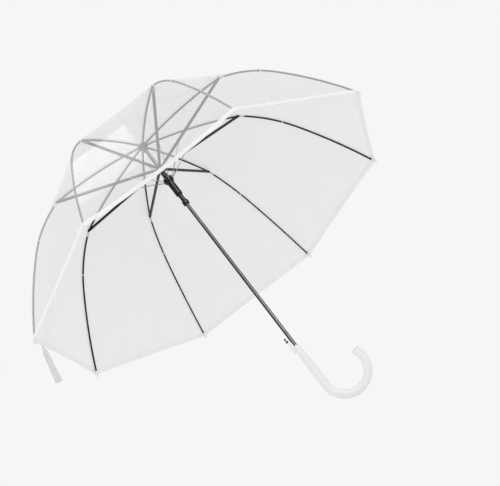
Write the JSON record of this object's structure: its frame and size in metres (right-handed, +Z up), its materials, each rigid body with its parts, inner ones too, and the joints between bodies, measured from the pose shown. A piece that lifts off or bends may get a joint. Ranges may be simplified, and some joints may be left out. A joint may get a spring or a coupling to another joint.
{
  "type": "stick umbrella",
  "caption": "Clear dome stick umbrella with black folding ribs, a sprung runner, a white hooked handle and a white ferrule.",
  "frame": {"origin": "on the shaft axis in the middle of the straight hand grip", "axes": "+Z up the shaft to the ferrule, +X the way the hook opens"},
  "size_m": [0.8341, 0.8134, 0.82],
  "materials": {
    "film": "clear gloss",
    "black_steel": "satin black",
    "dark_tube": "gloss",
    "wire": "plain",
    "black_plastic": "satin",
    "white_plastic": "satin white",
    "strap_film": "clear"
  },
  "bodies": {
    "frame": {"shaft": "dark_tube", "top_notch": "black_plastic", "crown_cap": "white_plastic", "ferrule": "white_plastic", "handle": "white_plastic", "canopy": "film"},
    "rib_upper_1": {"rib_upper_1": "black_steel"},
    "rib_lower_1": {"rib_lower_1": "black_steel"},
    "rib_end_1": {"rib_end_1": "black_steel", "rib_tip_1": "white_plastic"},
    "stretcher_1": {"stretcher_1": "black_steel"},
    "link_1": {"link_1": "wire"},
    "rib_upper_2": {"rib_upper_2": "black_steel"},
    "rib_lower_2": {"rib_lower_2": "black_steel"},
    "rib_end_2": {"rib_end_2": "black_steel", "rib_tip_2": "white_plastic"},
    "stretcher_2": {"stretcher_2": "black_steel"},
    "link_2": {"link_2": "wire"},
    "rib_upper_3": {"rib_upper_3": "black_steel"},
    "rib_lower_3": {"rib_lower_3": "black_steel"},
    "rib_end_3": {"rib_end_3": "black_steel", "rib_tip_3": "white_plastic"},
    "stretcher_3": {"stretcher_3": "black_steel"},
    "link_3": {"link_3": "wire"},
    "rib_upper_4": {"rib_upper_4": "black_steel"},
    "rib_lower_4": {"rib_lower_4": "black_steel"},
    "rib_end_4": {"rib_end_4": "black_steel", "rib_tip_4": "white_plastic"},
    "stretcher_4": {"stretcher_4": "black_steel"},
    "link_4": {"link_4": "wire"},
    "rib_upper_5": {"rib_upper_5": "black_steel"},
    "rib_lower_5": {"rib_lower_5": "black_steel"},
    "rib_end_5": {"rib_end_5": "black_steel", "rib_tip_5": "white_plastic"},
    "stretcher_5": {"stretcher_5": "black_steel"},
    "link_5": {"link_5": "wire"},
    "rib_upper_6": {"rib_upper_6": "black_steel"},
    "rib_lower_6": {"rib_lower_6": "black_steel"},
    "rib_end_6": {"rib_end_6": "black_steel", "rib_tip_6": "white_plastic"},
    "stretcher_6": {"stretcher_6": "black_steel"},
    "link_6": {"link_6": "wire"},
    "rib_upper_7": {"rib_upper_7": "black_steel"},
    "rib_lower_7": {"rib_lower_7": "black_steel"},
    "rib_end_7": {"rib_end_7": "black_steel", "rib_tip_7": "white_plastic"},
    "stretcher_7": {"stretcher_7": "black_steel"},
    "link_7": {"link_7": "wire"},
    "rib_upper_8": {"rib_upper_8": "black_steel"},
    "rib_lower_8": {"rib_lower_8": "black_steel"},
    "rib_end_8": {"rib_end_8": "black_steel", "rib_tip_8": "white_plastic"},
    "stretcher_8": {"stretcher_8": "black_steel"},
    "link_8": {"link_8": "wire"},
    "runner": {"runner": "black_plastic", "opening_spring": "wire"},
    "slider": {"slider": "black_plastic"},
    "release_lever": {"release_lever": "white_plastic", "catch": "black_steel"},
    "closing_strap": {"closing_strap": "strap_film"}
  },
  "joints": [
    {"name": "fold", "type": "hinge", "parent": "frame", "child": "rib_upper_1", "pos_m": [0.00831, -0.00344, 0.639], "axis": [0.3827, 0.9239, 0], "range_deg": [0, 79], "stiffness_Nm_per_rad": 2, "springref_deg": -34.38, "deforming": ["canopy", "closing_strap"]},
    {"name": "flex_lower_1", "type": "hinge", "parent": "rib_upper_1", "child": "rib_lower_1", "pos_m": [0.22035, -0.09127, 0.603], "axis": [0.3827, 0.9239, 0], "range_deg": [-33, 0]},
    {"name": "flex_end_1", "type": "hinge", "parent": "rib_lower_1", "child": "rib_end_1", "pos_m": [0.31412, -0.13011, 0.507], "axis": [0.3827, 0.9239, 0], "range_deg": [-19, 0]},
    {"name": "stretcher_pivot_1", "type": "hinge", "parent": "rib_upper_1", "child": "stretcher_1", "pos_m": [0.22035, -0.09127, 0.603], "axis": [0.3827, 0.9239, 0], "range_deg": [-159, 0]},
    {"name": "link_pivot_1", "type": "hinge", "parent": "stretcher_1", "child": "link_1", "pos_m": [0.0689, -0.02497, 0.57707], "axis": [0.3827, 0.9239, 0], "range_deg": [0, 27]},
    {"name": "fold_2", "type": "hinge", "parent": "frame", "child": "rib_upper_2", "pos_m": [0.00831, 0.00344, 0.639], "axis": [-0.3827, 0.9239, 0], "range_deg": [0, 79]},
    {"name": "flex_lower_2", "type": "hinge", "parent": "rib_upper_2", "child": "rib_lower_2", "pos_m": [0.22035, 0.09127, 0.603], "axis": [-0.3827, 0.9239, 0], "range_deg": [-33, 0]},
    {"name": "flex_end_2", "type": "hinge", "parent": "rib_lower_2", "child": "rib_end_2", "pos_m": [0.31412, 0.13011, 0.507], "axis": [-0.3827, 0.9239, 0], "range_deg": [-19, 0]},
    {"name": "stretcher_pivot_2", "type": "hinge", "parent": "rib_upper_2", "child": "stretcher_2", "pos_m": [0.22035, 0.09127, 0.603], "axis": [-0.3827, 0.9239, 0], "range_deg": [-159, 0]},
    {"name": "link_pivot_2", "type": "hinge", "parent": "stretcher_2", "child": "link_2", "pos_m": [0.06638, 0.03107, 0.57707], "axis": [-0.3827, 0.9239, 0], "range_deg": [0, 27]},
    {"name": "fold_3", "type": "hinge", "parent": "frame", "child": "rib_upper_3", "pos_m": [0.00344, 0.00831, 0.639], "axis": [-0.9239, 0.3827, 0], "range_deg": [0, 79]},
    {"name": "flex_lower_3", "type": "hinge", "parent": "rib_upper_3", "child": "rib_lower_3", "pos_m": [0.09127, 0.22035, 0.603], "axis": [-0.9239, 0.3827, 0], "range_deg": [-33, 0]},
    {"name": "flex_end_3", "type": "hinge", "parent": "rib_lower_3", "child": "rib_end_3", "pos_m": [0.13011, 0.31412, 0.507], "axis": [-0.9239, 0.3827, 0], "range_deg": [-19, 0]},
    {"name": "stretcher_pivot_3", "type": "hinge", "parent": "rib_upper_3", "child": "stretcher_3", "pos_m": [0.09127, 0.22035, 0.603], "axis": [-0.9239, 0.3827, 0], "range_deg": [-159, 0]},
    {"name": "link_pivot_3", "type": "hinge", "parent": "stretcher_3", "child": "link_3", "pos_m": [0.02497, 0.0689, 0.57707], "axis": [-0.9239, 0.3827, 0], "range_deg": [0, 27]},
    {"name": "fold_4", "type": "hinge", "parent": "frame", "child": "rib_upper_4", "pos_m": [-0.00344, 0.00831, 0.639], "axis": [-0.9239, -0.3827, 0], "range_deg": [0, 79]},
    {"name": "flex_lower_4", "type": "hinge", "parent": "rib_upper_4", "child": "rib_lower_4", "pos_m": [-0.09127, 0.22035, 0.603], "axis": [-0.9239, -0.3827, 0], "range_deg": [-33, 0]},
    {"name": "flex_end_4", "type": "hinge", "parent": "rib_lower_4", "child": "rib_end_4", "pos_m": [-0.13011, 0.31412, 0.507], "axis": [-0.9239, -0.3827, 0], "range_deg": [-19, 0]},
    {"name": "stretcher_pivot_4", "type": "hinge", "parent": "rib_upper_4", "child": "stretcher_4", "pos_m": [-0.09127, 0.22035, 0.603], "axis": [-0.9239, -0.3827, 0], "range_deg": [-159, 0]},
    {"name": "link_pivot_4", "type": "hinge", "parent": "stretcher_4", "child": "link_4", "pos_m": [-0.03107, 0.06638, 0.57707], "axis": [-0.9239, -0.3827, 0], "range_deg": [0, 27]},
    {"name": "fold_5", "type": "hinge", "parent": "frame", "child": "rib_upper_5", "pos_m": [-0.00831, 0.00344, 0.639], "axis": [-0.3827, -0.9239, 0], "range_deg": [0, 79]},
    {"name": "flex_lower_5", "type": "hinge", "parent": "rib_upper_5", "child": "rib_lower_5", "pos_m": [-0.22035, 0.09127, 0.603], "axis": [-0.3827, -0.9239, 0], "range_deg": [-33, 0]},
    {"name": "flex_end_5", "type": "hinge", "parent": "rib_lower_5", "child": "rib_end_5", "pos_m": [-0.31412, 0.13011, 0.507], "axis": [-0.3827, -0.9239, 0], "range_deg": [-19, 0]},
    {"name": "stretcher_pivot_5", "type": "hinge", "parent": "rib_upper_5", "child": "stretcher_5", "pos_m": [-0.22035, 0.09127, 0.603], "axis": [-0.3827, -0.9239, 0], "range_deg": [-159, 0]},
    {"name": "link_pivot_5", "type": "hinge", "parent": "stretcher_5", "child": "link_5", "pos_m": [-0.0689, 0.02497, 0.57707], "axis": [-0.3827, -0.9239, 0], "range_deg": [0, 27]},
    {"name": "fold_6", "type": "hinge", "parent": "frame", "child": "rib_upper_6", "pos_m": [-0.00831, -0.00344, 0.639], "axis": [0.3827, -0.9239, 0], "range_deg": [0, 79]},
    {"name": "flex_lower_6", "type": "hinge", "parent": "rib_upper_6", "child": "rib_lower_6", "pos_m": [-0.22035, -0.09127, 0.603], "axis": [0.3827, -0.9239, 0], "range_deg": [-33, 0]},
    {"name": "flex_end_6", "type": "hinge", "parent": "rib_lower_6", "child": "rib_end_6", "pos_m": [-0.31412, -0.13011, 0.507], "axis": [0.3827, -0.9239, 0], "range_deg": [-19, 0]},
    {"name": "stretcher_pivot_6", "type": "hinge", "parent": "rib_upper_6", "child": "stretcher_6", "pos_m": [-0.22035, -0.09127, 0.603], "axis": [0.3827, -0.9239, 0], "range_deg": [-159, 0]},
    {"name": "link_pivot_6", "type": "hinge", "parent": "stretcher_6", "child": "link_6", "pos_m": [-0.06638, -0.03107, 0.57707], "axis": [0.3827, -0.9239, 0], "range_deg": [0, 27]},
    {"name": "fold_7", "type": "hinge", "parent": "frame", "child": "rib_upper_7", "pos_m": [-0.00344, -0.00831, 0.639], "axis": [0.9239, -0.3827, 0], "range_deg": [0, 79]},
    {"name": "flex_lower_7", "type": "hinge", "parent": "rib_upper_7", "child": "rib_lower_7", "pos_m": [-0.09127, -0.22035, 0.603], "axis": [0.9239, -0.3827, 0], "range_deg": [-33, 0]},
    {"name": "flex_end_7", "type": "hinge", "parent": "rib_lower_7", "child": "rib_end_7", "pos_m": [-0.13011, -0.31412, 0.507], "axis": [0.9239, -0.3827, 0], "range_deg": [-19, 0]},
    {"name": "stretcher_pivot_7", "type": "hinge", "parent": "rib_upper_7", "child": "stretcher_7", "pos_m": [-0.09127, -0.22035, 0.603], "axis": [0.9239, -0.3827, 0], "range_deg": [-159, 0]},
    {"name": "link_pivot_7", "type": "hinge", "parent": "stretcher_7", "child": "link_7", "pos_m": [-0.02497, -0.0689, 0.57707], "axis": [0.9239, -0.3827, 0], "range_deg": [0, 27]},
    {"name": "fold_8", "type": "hinge", "parent": "frame", "child": "rib_upper_8", "pos_m": [0.00344, -0.00831, 0.639], "axis": [0.9239, 0.3827, 0], "range_deg": [0, 79]},
    {"name": "flex_lower_8", "type": "hinge", "parent": "rib_upper_8", "child": "rib_lower_8", "pos_m": [0.09127, -0.22035, 0.603], "axis": [0.9239, 0.3827, 0], "range_deg": [-33, 0]},
    {"name": "flex_end_8", "type": "hinge", "parent": "rib_lower_8", "child": "rib_end_8", "pos_m": [0.13011, -0.31412, 0.507], "axis": [0.9239, 0.3827, 0], "range_deg": [-19, 0]},
    {"name": "stretcher_pivot_8", "type": "hinge", "parent": "rib_upper_8", "child": "stretcher_8", "pos_m": [0.09127, -0.22035, 0.603], "axis": [0.9239, 0.3827, 0], "range_deg": [-159, 0]},
    {"name": "link_pivot_8", "type": "hinge", "parent": "stretcher_8", "child": "link_8", "pos_m": [0.03107, -0.06638, 0.57707], "axis": [0.9239, 0.3827, 0], "range_deg": [0, 27]},
    {"name": "runner_travel", "type": "hinge", "parent": "stretcher_1", "child": "runner", "pos_m": [0.00831, -0.00344, 0.567], "axis": [0.3827, 0.9239, 0], "range_deg": [0, 80]},
    {"name": "slider_slide", "type": "slide", "parent": "runner", "child": "slider", "axis": [0, 0, 1], "range_m": [0, 0.025], "deforming": ["opening_spring"]},
    {"name": "lever_press", "type": "hinge", "parent": "frame", "child": "release_lever", "pos_m": [-0.0098, 0, 0.0575], "axis": [0, -1, 0], "range_deg": [0, 5], "stiffness_Nm_per_rad": 0.5, "springref_deg": -2.86},
    {"name": "strap_swing", "type": "hinge", "parent": "rib_end_6", "child": "closing_strap", "pos_m": [-0.40281, -0.12585, 0.327], "axis": [0, 1, 0], "range_deg": [-25, 40], "stiffness_Nm_per_rad": 0.05}
  ],
  "couplings": [
    {"joint": "flex_lower_1", "follows": "fold", "ratio": -0.40506},
    {"joint": "flex_end_1", "follows": "fold", "ratio": -0.22785},
    {"joint": "stretcher_pivot_1", "follows": "fold", "ratio": -2},
    {"joint": "link_pivot_1", "follows": "fold", "ratio": 0.33096},
    {"joint": "fold_2", "follows": "fold", "ratio": 1},
    {"joint": "flex_lower_2", "follows": "fold", "ratio": -0.40506},
    {"joint": "flex_end_2", "follows": "fold", "ratio": -0.22785},
    {"joint": "stretcher_pivot_2", "follows": "fold", "ratio": -2},
    {"joint": "link_pivot_2", "follows": "fold", "ratio": 0.33096},
    {"joint": "fold_3", "follows": "fold", "ratio": 1},
    {"joint": "flex_lower_3", "follows": "fold", "ratio": -0.40506},
    {"joint": "flex_end_3", "follows": "fold", "ratio": -0.22785},
    {"joint": "stretcher_pivot_3", "follows": "fold", "ratio": -2},
    {"joint": "link_pivot_3", "follows": "fold", "ratio": 0.33096},
    {"joint": "fold_4", "follows": "fold", "ratio": 1},
    {"joint": "flex_lower_4", "follows": "fold", "ratio": -0.40506},
    {"joint": "flex_end_4", "follows": "fold", "ratio": -0.22785},
    {"joint": "stretcher_pivot_4", "follows": "fold", "ratio": -2},
    {"joint": "link_pivot_4", "follows": "fold", "ratio": 0.33096},
    {"joint": "fold_5", "follows": "fold", "ratio": 1},
    {"joint": "flex_lower_5", "follows": "fold", "ratio": -0.40506},
    {"joint": "flex_end_5", "follows": "fold", "ratio": -0.22785},
    {"joint": "stretcher_pivot_5", "follows": "fold", "ratio": -2},
    {"joint": "link_pivot_5", "follows": "fold", "ratio": 0.33096},
    {"joint": "fold_6", "follows": "fold", "ratio": 1},
    {"joint": "flex_lower_6", "follows": "fold", "ratio": -0.40506},
    {"joint": "flex_end_6", "follows": "fold", "ratio": -0.22785},
    {"joint": "stretcher_pivot_6", "follows": "fold", "ratio": -2},
    {"joint": "link_pivot_6", "follows": "fold", "ratio": 0.33096},
    {"joint": "fold_7", "follows": "fold", "ratio": 1},
    {"joint": "flex_lower_7", "follows": "fold", "ratio": -0.40506},
    {"joint": "flex_end_7", "follows": "fold", "ratio": -0.22785},
    {"joint": "stretcher_pivot_7", "follows": "fold", "ratio": -2},
    {"joint": "link_pivot_7", "follows": "fold", "ratio": 0.33096},
    {"joint": "fold_8", "follows": "fold", "ratio": 1},
    {"joint": "flex_lower_8", "follows": "fold", "ratio": -0.40506},
    {"joint": "flex_end_8", "follows": "fold", "ratio": -0.22785},
    {"joint": "stretcher_pivot_8", "follows": "fold", "ratio": -2},
    {"joint": "link_pivot_8", "follows": "fold", "ratio": 0.33096},
    {"joint": "runner_travel", "follows": "fold", "ratio": 1},
    {"joint": "slider_slide", "follows": "fold", "m_per_rad": 0.017248}
  ]
}
